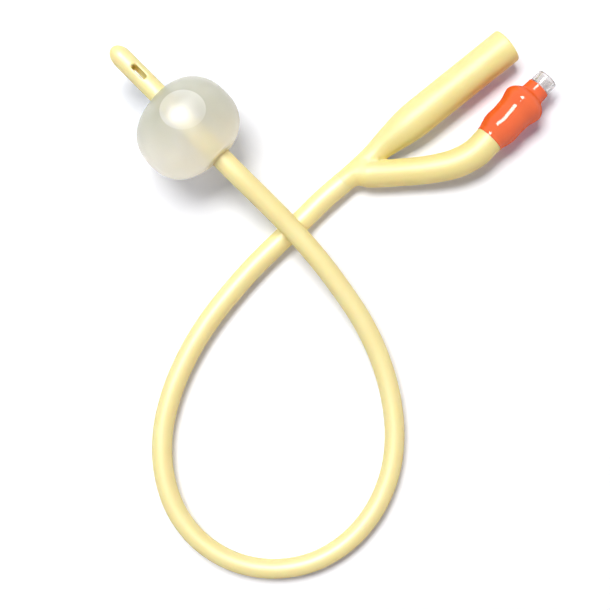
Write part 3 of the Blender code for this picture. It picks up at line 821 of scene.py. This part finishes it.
def wrap(piece, voxel, shape):
    """Even fine mesh over a rough closed one, drawn onto a shape given by its distance."""
    remesh = piece.modifiers.new("remesh", "REMESH")
    remesh.mode = "VOXEL"
    remesh.voxel_size = voxel
    remesh.use_smooth_shade = True
    apply_modifiers(piece)
    mesh = piece.data
    points = np.empty(len(mesh.vertices) * 3)
    reach = voxel * WRAP_REACH
    for turn in range(WRAP_ROUNDS):
        mesh.vertices.foreach_get("co", points)
        spots = points.reshape(-1, 3)
        for _ in range(WRAP_STEPS):
            distance, way = shape(spots)
            spots = spots - way * np.clip(distance, -reach, reach)[:, None]
        mesh.vertices.foreach_set("co", spots.ravel())
        mesh.update()
        if turn < WRAP_ROUNDS - 1:
            smooth_mesh(mesh)


def axis_frame(x, y, z, turn):
    """Place of a turned piece: its Z lies level at the turn, and its X points up."""
    along = Vector((math.cos(math.radians(turn)), math.sin(math.radians(turn)), 0.0))
    up = Vector((0.0, 0.0, 1.0))
    side = along.cross(up)
    rotation = Matrix((up, side, along)).transposed().to_4x4()
    return Matrix.Translation(Vector((x, y, z))) @ rotation


# Frames of the valve, above the sleeve's lower rim, and of the tip section, above its seam
VALVE_FRAME = axis_frame(*VALVE, VALVE_HEIGHT, VALVE_TURN)
TIP_WAY = Vector((math.cos(math.radians(TIP_TURN)), math.sin(math.radians(TIP_TURN)), 0.0))
TIP_FOOT = (SEAM[0] + FIT * TIP_WAY.x, SEAM[1] + FIT * TIP_WAY.y, BALLOON_D / 2)
TIP_FRAME = axis_frame(*TIP_FOOT, TIP_TURN)


def along_valve(height):
    """Point on the valve's axis at a height above the sleeve's lower rim."""
    return VALVE_FRAME @ Vector((0.0, 0.0, height))


VALVE_WAY = along_valve(1.0) - along_valve(0.0)


# Camera


def make_camera():
    """Camera at the photograph's viewing angle."""
    camera = link("camera", bpy.data.cameras.new("camera"))
    camera.location = CAMERA_SPOT
    camera.rotation_euler = (0.0, 0.0, math.radians(CAMERA_ROLL))
    camera.data.angle = 2 * math.atan(VIEW_HALF_WIDTH / VIEW_DISTANCE)
    camera.data.clip_start = VIEW_NEAREST
    bpy.context.scene.camera = camera


# Shaft


def shaft_radius(share):
    """Radius of the shaft, from the moulding at 0 to the balloon at 1."""
    if share < 0.5:
        return between(SHAFT_ROOT_D, SHAFT_WAIST_D, smoothstep(share * 2)) / 2
    return between(SHAFT_WAIST_D, SHAFT_BALLOON_D, smoothstep(share * 2 - 1)) / 2


def shaft_height(step, share):
    """Height of the shaft's centre line at a step of the route."""
    crossing = SHAFT_ROOT_D + FIT + SHAFT_BALLOON_D / 2
    if step <= 1:
        return between(shaft_radius(share), crossing, step)
    return between(crossing, BALLOON_D / 2, step - 1)


def make_shaft(material):
    """The free shaft, as a cord along its traced route."""
    runs = [0.0]
    for (x0, y0, _), (x1, y1, _) in zip(SHAFT_ROUTE, SHAFT_ROUTE[1:]):
        runs.append(runs[-1] + math.hypot(x1 - x0, y1 - y0))
    route = [
        (x, y, shaft_height(step, run / runs[-1])) for (x, y, step), run in zip(SHAFT_ROUTE, runs)
    ]
    points = smooth_curve(route, SHAFT_STEP)
    end = points[-1] + TIP_WAY * (FIT + SEAM_LAP)
    curve = bpy.data.curves.new("shaft", "CURVE")
    curve.dimensions = "3D"
    curve.bevel_depth = 1.0
    curve.bevel_resolution = SHAFT_BEVEL
    curve.use_fill_caps = True
    spline = curve.splines.new("POLY")
    spline.points.add(len(points))
    for i, (knot, point) in enumerate(zip(spline.points, points + [end])):
        knot.co = (*point, 1.0)
        knot.radius = shaft_radius(min(i / (len(points) - 1), 1.0))
    spline.use_smooth = True
    shaft = link("shaft", curve)
    dress(shaft, material, "catheter_shaft")


# Moulding


def limb_radius(along):
    """Outer radius of the drainage limb at a distance from its root."""
    return between(SHAFT_ROOT_D, FUNNEL_D, smoothstep((along - LIMB_ROOT_L) / LIMB_FLARE_L)) / 2


def limb_bore_radius(along):
    """Radius of the bore, from the shaft's lumen to the funnel's mouth."""
    throat = LIMB_ROOT_L + LIMB_FLARE_L
    if along < throat:
        return between(LUMEN_D, THROAT_BORE_D, smoothstep((along - LIMB_ROOT_L) / LIMB_FLARE_L)) / 2
    return between(THROAT_BORE_D, MOUTH_BORE_D, (along - throat) / FUNNEL_L) / 2


def limb_centre(along):
    """Centre line of the limb: it lies on the table and eases over to the funnel's axis."""
    x = between(ROOT[0], FUNNEL_X, smoothstep(along / (LIMB_ROOT_L * 2)))
    return np.array((x, ROOT[1] + along, limb_radius(along)))


def arm_radius(run):
    """Radius of the arm at a run along it. It starts slim, inside the limb."""
    full = between(ARM_ROOT_D, ARM_D, smoothstep((run - ARM_SWELL_FROM) / ARM_SWELL_L)) / 2
    grown = math.sin(math.pi / 2 * min(run / ARM_START_L, 1.0))
    return between(ARM_START_D / 2, full, grown)


def arm_line():
    """Centre line and radii of the arm, on into the socket under the sleeve."""
    route = []
    for i, (x, y, climb) in enumerate(ARM_ROUTE):
        radius = between(ARM_ROOT_D, ARM_D, i / (len(ARM_ROUTE) - 1)) / 2
        route.append((x, y, between(radius, VALVE_HEIGHT, climb)))
    route.append(along_valve(-ARM_STRAIGHT_L))
    points = smooth_curve(route, ARM_STEP)
    radii = []
    run = 0.0
    for point, following in zip(points, points[1:] + points[-1:]):
        radii.append(arm_radius(run))
        run += (following - point).length
    steps = [
        (-FIT, ARM_D / 2),
        (-FIT / 2, REBATE_D / 2),
        (REBATE_L, REBATE_D / 2),
        (REBATE_L + SOCKET_FLARE_L, SOCKET_D / 2),
        (SOCKET_TOP, SOCKET_D / 2),
    ]
    points += [along_valve(height) for height, _ in steps]
    radii += [radius for _, radius in steps]
    return [np.array(point) for point in points], radii


def web_outline(arm):
    """Corners, seen from above, of the web that fills the fork back from the crotch."""
    corners = [limb_centre(0.0)[:2], limb_centre(WEB_LIMB_L)[:2]]
    run = 0.0
    edge = [arm[0][:2]]
    for point, following in zip(arm, arm[1:]):
        run += np.linalg.norm(following - point)
        if run > WEB_ARM_L:
            break
        edge.append(following[:2])
    return corners + edge[::-1]


def from_web(points, corners, rounding):
    """Distance to the web, which is a plate between the crowns of the limb and the arm."""
    crown = limb_radius(WEB_LIMB_L) * 2 - WEB_BELOW_CROWN
    up = np.array((0.0, 0.0, 1.0))
    plate = keep(
        from_plane(points, up * crown, up), from_plane(points, up * WEB_BELOW_CROWN, -up), rounding
    )
    root, limb_end, arm_end, arm_start = corners[0], corners[1], corners[2], corners[-1]
    for first, second in ((root, limb_end), (limb_end, arm_end), (arm_end, arm_start)):
        side = second - first
        normal = np.array((-side[1], side[0], 0.0))
        normal /= np.linalg.norm(normal)
        plate = keep(plate, from_plane(points, np.array((*first, 0.0)), normal), rounding)
    return plate


def rough_moulding(limb, limb_radii, arm, arm_radii):
    """Plain limb and arm, for the wrapping to start from."""
    rough = bmesh.new()
    rough.from_mesh(tube_mesh("limb", limb, limb_radii, TUBE_SIDES))
    rough.from_mesh(tube_mesh("arm", arm, arm_radii, TUBE_SIDES))
    return mesh_from(rough, "moulding")


def limb_bore():
    """Cutter for the bore through the limb, from the shaft's lumen out of the funnel's mouth."""
    stations = [-2 * ROOT_OVERLAP, *np.arange(0.0, MOUTH_FROM_ROOT, BORE_STEP)]
    stations.append(MOUTH_FROM_ROOT + CUT_BEYOND)
    centres = [limb_centre(along) for along in stations]
    radii = [limb_bore_radius(max(along, 0.0)) for along in stations]
    return tube_mesh("bore", centres, radii, BORE_SIDES)


def socket_bore():
    """Cutter for the socket in the arm's end that takes the valve's stem."""
    radius = SOCKET_BORE_D / 2
    floor = SOCKET_TOP - SOCKET_DEPTH
    top = SOCKET_TOP + CUT_BEYOND
    profile = [(0, top), (radius, top), (radius, floor), (0, floor)]
    return turned_mesh("socket", profile, VALVE_FRAME, SOCKET_SIDES)


def make_moulding(material):
    """The forked moulding, with a soft web back from the crotch of its limb and its arm."""
    stations = np.arange(-ROOT_OVERLAP, MOUTH_FROM_ROOT + LIMB_BEYOND, LIMB_STEP)
    limb = [limb_centre(along) for along in stations]
    limb_radii = [limb_radius(along) for along in stations]
    arm, arm_radii = arm_line()
    web = web_outline(arm)

    toward_mouth = np.array((0.0, 1.0, 0.0))
    mouth_centre = np.array((FUNNEL_X, ROOT[1] + MOUTH_FROM_ROOT, FUNNEL_D / 2))
    root_centre = np.array((ROOT[0], ROOT[1] - ROOT_OVERLAP, SHAFT_ROOT_D / 2))
    socket_end = np.array(along_valve(SOCKET_TOP))

    def shape(points):
        """Distance to the moulding without its bores."""
        mouth = from_plane(points, mouth_centre, toward_mouth)
        limb_part = keep(from_tube(points, limb, limb_radii), mouth, LIP_ROUND)
        end = from_plane(points, socket_end, np.array(VALVE_WAY))
        arm_part = keep(from_tube(points, arm, arm_radii), end, SOCKET_ROUND)
        fillet = np.interp(
            points[:, 1], (ARM_ROOT_FROM, CROTCH_FROM), (ARM_ROOT_ROUND, CROTCH_ROUND)
        )
        fork = join(join(limb_part, arm_part, fillet), from_web(points, web, WEB_ROUND), WEB_ROUND)
        return keep(fork, from_plane(points, root_centre, -toward_mouth), CRISP_ROUND)

    inside = sum(along <= MOUTH_FROM_ROOT for along in stations)
    piece = link("moulding", rough_moulding(limb[:inside], limb_radii[:inside], arm, arm_radii))
    wrap(piece, MOULDING_VOXEL, shape)
    without(piece, limb_bore())
    without(piece, socket_bore())
    dress(piece, material, "y_funnel")


# Tip section


def from_tip_body(local):
    """Distance to the tip section's outside, in its own frame. Its nose is half an ellipsoid."""
    x, y, height = local.T
    around = np.hypot(x, y)
    out = unit(np.stack([x, y, np.zeros(len(local))], axis=1))
    radius = np.interp(height, [SEAM_TO_WIDEST, TIP_SLIM_FROM], [SHAFT_BALLOON_D / 2, TIP_D / 2])
    above = np.maximum(height - (TIP_L - NOSE_L), 0.0)
    squash = TIP_D / 2 / NOSE_L
    length = np.linalg.norm(np.stack([x, y, above * squash], axis=1), axis=1)
    nose_way = unit(np.stack([x, y, above * squash ** 2], axis=1))
    in_nose = above > 0
    return (
        np.where(in_nose, length - TIP_D / 2, around - radius),
        np.where(in_nose[:, None], nose_way, out),
    )


def from_lumen(local):
    """Distance to the tip section's lumen, which ends blind above the eyes."""
    x, y, height = local.T
    out = unit(np.stack([x, y, np.zeros(len(local))], axis=1))
    top = from_plane(local, np.array((0.0, 0.0, LUMEN_TOP)), np.array((0.0, 0.0, 1.0)))
    return keep((np.hypot(x, y) - LUMEN_D / 2, out), top, LUMEN_D / 2)


def from_eyes(local):
    """Distance to the bar with round ends that the two eyes are cut by."""
    turn = math.radians(EYE_TURN)
    side = np.array((-math.sin(turn), math.cos(turn), 0.0))
    up = np.array((0.0, 0.0, 1.0))
    across = local @ side
    straight = EYE_L / 2 - EYE_W / 2
    height = local[:, 2] - EYE_HEIGHT
    beyond = height - np.clip(height, -straight, straight)
    return np.hypot(across, beyond) - EYE_W / 2, unit(across[:, None] * side + beyond[:, None] * up)


def tip_shape(points):
    """Distance to the tip section with its lumen and its eyes."""
    inverse = np.array(TIP_FRAME.inverted())
    forward = np.array(TIP_FRAME)
    local = points @ inverse[:3, :3].T + inverse[:3, 3]
    body = cut(from_tip_body(local), from_lumen(local), CRISP_ROUND)
    body = cut(body, from_eyes(local), EYE_ROUND)
    foot = from_plane(local, np.zeros(3), np.array((0.0, 0.0, -1.0)))
    distance, way = keep(body, foot, CRISP_ROUND)
    return distance, way @ forward[:3, :3].T


def rough_tip():
    """Plain tip section, from its nose down to its seam."""
    rows = [(0, TIP_L)]
    for i in range(1, NOSE_STEPS + 1):
        angle = math.pi / 2 * i / NOSE_STEPS
        rows.append((TIP_D / 2 * math.sin(angle), TIP_L - NOSE_L * (1 - math.cos(angle))))
    seam = SHAFT_BALLOON_D / 2
    rows += [(TIP_D / 2, TIP_SLIM_FROM), (seam, SEAM_TO_WIDEST), (seam, 0.0), (0, 0.0)]
    return turned_mesh("tip", rows, TIP_FRAME, TIP_SIDES)


def lumen_bore():
    """Cutter for the lumen, open at the seam."""
    radius = LUMEN_D / 2
    rows = [
        (0, LUMEN_TOP),
        (radius * 0.7, LUMEN_TOP - radius * 0.3),
        (radius, LUMEN_TOP - radius),
        (radius, -CUT_BEYOND),
        (0, -CUT_BEYOND),
    ]
    return turned_mesh("lumen", rows, TIP_FRAME, LUMEN_SIDES)


def eye_bar():
    """Cutter for both eyes: a bar with round ends, across the tip section."""
    upright = Matrix(((0, 0, 1, 0), (1, 0, 0, 0), (0, 1, 0, 0), (0, 0, 0, 1)))
    turned = Matrix.Rotation(math.radians(EYE_TURN), 4, "Z") @ upright
    place = TIP_FRAME @ Matrix.Translation((0.0, 0.0, EYE_HEIGHT)) @ turned
    outline = []
    radius = EYE_W / 2
    straight = EYE_L / 2 - radius
    for side in (1, -1):
        for i in range(EYE_STEPS + 1):
            angle = math.pi * i / EYE_STEPS
            across = radius * math.cos(angle)
            along = straight + radius * math.sin(angle)
            outline.append((side * across, side * along))
    bar = bmesh.new()
    lower = [bar.verts.new(place @ Vector((x, y, -TIP_D))) for x, y in outline]
    upper = [bar.verts.new(place @ Vector((x, y, TIP_D))) for x, y in outline]
    bar.faces.new(lower)
    bar.faces.new(upper)
    for i in range(len(outline)):
        k = (i + 1) % len(outline)
        bar.faces.new((lower[i], lower[k], upper[k], upper[i]))
    bmesh.ops.recalc_face_normals(bar, faces=bar.faces)
    return mesh_from(bar, "eye_bar")


def make_tip(material):
    """Round closed tip with its two eyes and its lumen."""
    piece = link("tip", rough_tip())
    without(piece, lumen_bore())
    without(piece, eye_bar())
    wrap(piece, TIP_VOXEL, tip_shape)
    dress(piece, material, "tip_section")


# Balloon


def balloon_outline(inset, exit_radius, tip_radius):
    """Outline from the tip side down to the shaft side, rounder at the waist than a sphere."""
    radius = BALLOON_D / 2 - inset
    power = 2 / BALLOON_FULLNESS
    start = math.asin((tip_radius / radius) ** (1 / power))
    stop = math.pi - math.asin((exit_radius / radius) ** (1 / power))
    outline = []
    for i in range(BALLOON_RINGS + 1):
        angle = between(start, stop, i / BALLOON_RINGS)
        across = radius * math.sin(angle) ** power
        if angle < math.pi / 2:
            outline.append((across, (BALLOON_TIP_L - inset) * math.cos(angle) ** power))
        else:
            outline.append((across, -(BALLOON_EXIT_L - inset) * abs(math.cos(angle)) ** power))
    return outline


def make_balloon(material):
    """Thin film, blown up round the tip section, with a cuff turned in at each end."""
    bore_exit = SHAFT_BALLOON_D / 2 + FILM_FIT
    bore_tip = TIP_D / 2 + FILM_FIT
    cuff_exit = bore_exit + FILM_WALL
    cuff_tip = bore_tip + FILM_WALL
    outer = balloon_outline(0.0, bore_exit, bore_tip)
    inner = balloon_outline(FILM_WALL, cuff_exit, cuff_tip)
    exit_end = outer[-1][1]
    tip_end = outer[0][1]
    profile = outer + [(bore_exit, exit_end + CUFF_L), (cuff_exit, exit_end + CUFF_L)]
    profile += list(reversed(inner)) + [(cuff_tip, tip_end - CUFF_L), (bore_tip, tip_end - CUFF_L)]
    mesh = turned_mesh("balloon", profile, Matrix.Identity(4), BALLOON_SIDES)
    for vertex in mesh.vertices:
        reach = math.hypot(vertex.co.x, vertex.co.y)
        vertex.co.y -= BALLOON_LEAN * smoothstep((reach - cuff_exit) / (BALLOON_D / 2 - cuff_exit))
    mesh.transform(TIP_FRAME @ Matrix.Translation((0.0, 0.0, SEAM_TO_WIDEST)))
    dress(link("balloon", mesh), material, "retention_balloon")


# Valve


def make_sleeve(material):
    """Colour sleeve over the arm's end and the valve."""
    flare_top = REBATE_L + SOCKET_FLARE_L
    neck = COLLAR + COLLAR_L + SHOULDER_L
    waist_radius = SOCKET_D / 2 + FIT
    collar_radius = COLLAR_D / 2 + FIT
    neck_radius = GROOVE_D / 2 + FIT
    lip_radius = REBATE_D / 2 + FIT
    lap_radius = ARM_D / 2 + SLEEVE_LAP_FIT
    inner = [
        (lap_radius, -SLEEVE_LAP),
        (lap_radius, -SLEEVE_LAP_END),
        (lip_radius, 0.0),
        (lip_radius, REBATE_L - FIT),
        (waist_radius, flare_top - FIT),
        (waist_radius, COLLAR - COLLAR_RAMP_L - FIT),
        (collar_radius, COLLAR - FIT),
        (collar_radius, COLLAR + COLLAR_L + FIT / 2),
        (neck_radius, neck + FIT / 2),
        (neck_radius, SLEEVE_L),
    ]
    shoulder = collar_radius + SHOULDER_WALL
    waist = waist_radius + WAIST_WALL
    neck_outer = neck_radius + NECK_WALL
    lip = lip_radius + LIP_WALL
    outline = [
        (ARM_D / 2 + SLEEVE_LAP_WALL, -SLEEVE_LAP),
        (lip + 0.1 * MM, 0.0),
        (between(lip, waist, 0.6), flare_top * 0.55),
        (waist + 0.02 * MM, flare_top + 0.3 * MM),
        (waist, between(flare_top, COLLAR, 0.45)),
        (between(waist, shoulder, 0.25), COLLAR - COLLAR_RAMP_L * 2),
        (between(waist, shoulder, 0.75), COLLAR - COLLAR_RAMP_L * 0.3),
        (shoulder, COLLAR + COLLAR_L * 0.55),
        (between(neck_outer, shoulder, 0.85), COLLAR + COLLAR_L + SHOULDER_L * 0.12),
        (between(neck_outer, shoulder, 0.5), COLLAR + COLLAR_L + SHOULDER_L * 0.62),
        (neck_outer + 0.2 * MM, neck + 0.2 * MM),
        (neck_outer + 0.05 * MM, between(neck, SLEEVE_L, 0.5)),
        (neck_outer, SLEEVE_L),
    ]
    smooth = smooth_curve([(radius, height, 0.0) for radius, height in outline], SLEEVE_STEP)
    outer = [(point.x, point.y) for point in reversed(smooth)]
    mesh = turned_mesh("sleeve", outer + inner, VALVE_FRAME, SLEEVE_SIDES)
    dress(link("sleeve", mesh), material, "color_sleeve")


def rounded_profile(corners, rounding):
    """Closed profile with each sharp corner replaced by a short arc."""
    result = []
    count = len(corners)
    for i in range(count):
        before, here, after = (Vector(corners[(i + k) % count]) for k in (-1, 0, 1))
        back = before - here
        ahead = after - here
        reach = min(rounding, back.length * 0.45, ahead.length * 0.45)
        start = here + back.normalized() * reach
        stop = here + ahead.normalized() * reach
        for k in range(ROUND_STEPS + 1):
            t = k / ROUND_STEPS
            result.append(tuple(start * (1 - t) ** 2 + here * 2 * t * (1 - t) + stop * t**2))
    return result


def make_housing(material):
    """Clear housing with its spring chamber, valve seat and luer socket."""
    mouth = LUER_MOUTH_D / 2
    floor = CHAMBER_TOP + SEAT_T
    barrel = LUER_OUTER_D / 2
    groove = GROOVE_D / 2
    corners = [
        (barrel, LUER_RIM),
        (barrel, SLEEVE_L + FIT),
        (groove, SLEEVE_L + FIT),
        (groove, COLLAR + COLLAR_L + SHOULDER_L),
        (COLLAR_D / 2, COLLAR + COLLAR_L),
        (COLLAR_D / 2, COLLAR),
        (SOCKET_D / 2, COLLAR - COLLAR_RAMP_L),
        (SOCKET_D / 2, HOUSING_FOOT),
        (CHAMBER_D / 2, HOUSING_FOOT),
        (CHAMBER_D / 2, CHAMBER_TOP),
        (SEAT_HOLE_D / 2, CHAMBER_TOP),
        (SEAT_HOLE_D / 2, floor),
        (mouth - LUER_TAPER / 2 * LUER_DEPTH, floor),
        (mouth, LUER_RIM),
    ]
    profile = rounded_profile(corners, HOUSING_ROUND)
    mesh = turned_mesh("luer_housing", profile, VALVE_FRAME, HOUSING_SIDES)
    dress(link("luer_housing", mesh), material, "valve_housing")


def press_spring(spring):
    """Find how far the spring would shorten as the plunger goes in; the share is worked out but not
    applied, and the spring only gets its own mesh.
    """
    foot = along_valve(0.0)
    points = [spring.matrix_world @ vertex.co for vertex in spring.data.vertices]
    heights = [(point - foot).dot(VALVE_WAY) for point in points]
    low, high = min(heights), max(heights)
    1.0 - PLUNGER_STROKE / (high - low)
    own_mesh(spring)


# Room


def make_table():
    """Pale table. Its glow is added only where it is seen, so it lights nothing."""
    bpy.ops.mesh.primitive_plane_add(size=TABLE_SIZE, location=(0.0, 0.0, 0.0))
    table = bpy.context.object
    table.name = "table_top"
    finish = Finish("table_white")
    x, y, _ = finish.parts_of(finish.place())
    reach = ((x - CAMERA_SPOT[0]) ** 2 + (y - CAMERA_SPOT[1]) ** 2) ** 0.5
    shine = finish.mix(finish.ramp(reach, *TABLE_FAR), TABLE_GLOW, WHITE)
    matt = finish.node("ShaderNodeBsdfDiffuse", {}, {"Color": (*TABLE_WHITE, 1.0)})
    glow = finish.node("ShaderNodeEmission", {}, {"Color": shine, "Strength": 1.0})
    bright = finish.node("ShaderNodeAddShader", {}, {0: matt, 1: glow})
    surface = finish.node("ShaderNodeMixShader", {}, {0: finish.seen(), 1: matt, 2: bright})
    table.data.materials.append(finish.end(surface))


def make_surroundings():
    """White where they are seen. Their light is dim, with a warm fill low from one side."""
    finish = Finish("surroundings", "worlds")
    way = (PICTURE_ROLL @ Vector(FILL_SPOT)).normalized()
    x, y, z = finish.parts_of(finish.node("ShaderNodeTexCoord"))
    lobe = (x * way.x + y * way.y + z * way.z).larger(0.0) ** FILL_FOCUS
    color = finish.mix(finish.seen(), finish.mix(lobe, AMBIENT, FILL), WHITE)
    air = finish.node("ShaderNodeBackground", {}, {"Color": color})
    bpy.context.scene.world = finish.end(air, "ShaderNodeOutputWorld")


def make_lamp():
    """One soft lamp like a window, turned to the middle of the picture."""
    data = bpy.data.lights.new("window_lamp", "AREA")
    data.shape = "RECTANGLE"
    data.size = LAMP_W
    data.size_y = LAMP_H
    data.energy = LAMP_BRIGHTNESS * math.pi * LAMP_W * LAMP_H
    lamp = link("window_lamp", data)
    middle = Vector((CAMERA_SPOT[0], CAMERA_SPOT[1], 0.0))
    lamp.location = middle + PICTURE_ROLL @ Vector(LAMP_SPOT)
    lamp.rotation_mode = "QUATERNION"
    lamp.rotation_quaternion = (middle - lamp.location).to_track_quat("-Z", "Y")


bpy.context.scene.view_settings.view_transform = "Standard"
make_camera()
make_shaft(latex("shaft_latex"))
make_moulding(latex("moulding_latex", 0.5))
make_tip(latex("tip_latex"))
make_balloon(balloon_film())
make_sleeve(orange_skin())
make_housing(clear_plastic())
for node, make in {
    "valve_base": white_plastic,
    "valve_plunger": white_plastic,
    "plunger_seal": seal_rubber,
    "valve_spring": spring_steel,
}.items():
    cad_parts[node].data.materials.clear()
    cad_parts[node].data.materials.append(make())
press_spring(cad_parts["valve_spring"])
make_table()
make_surroundings()
make_lamp()
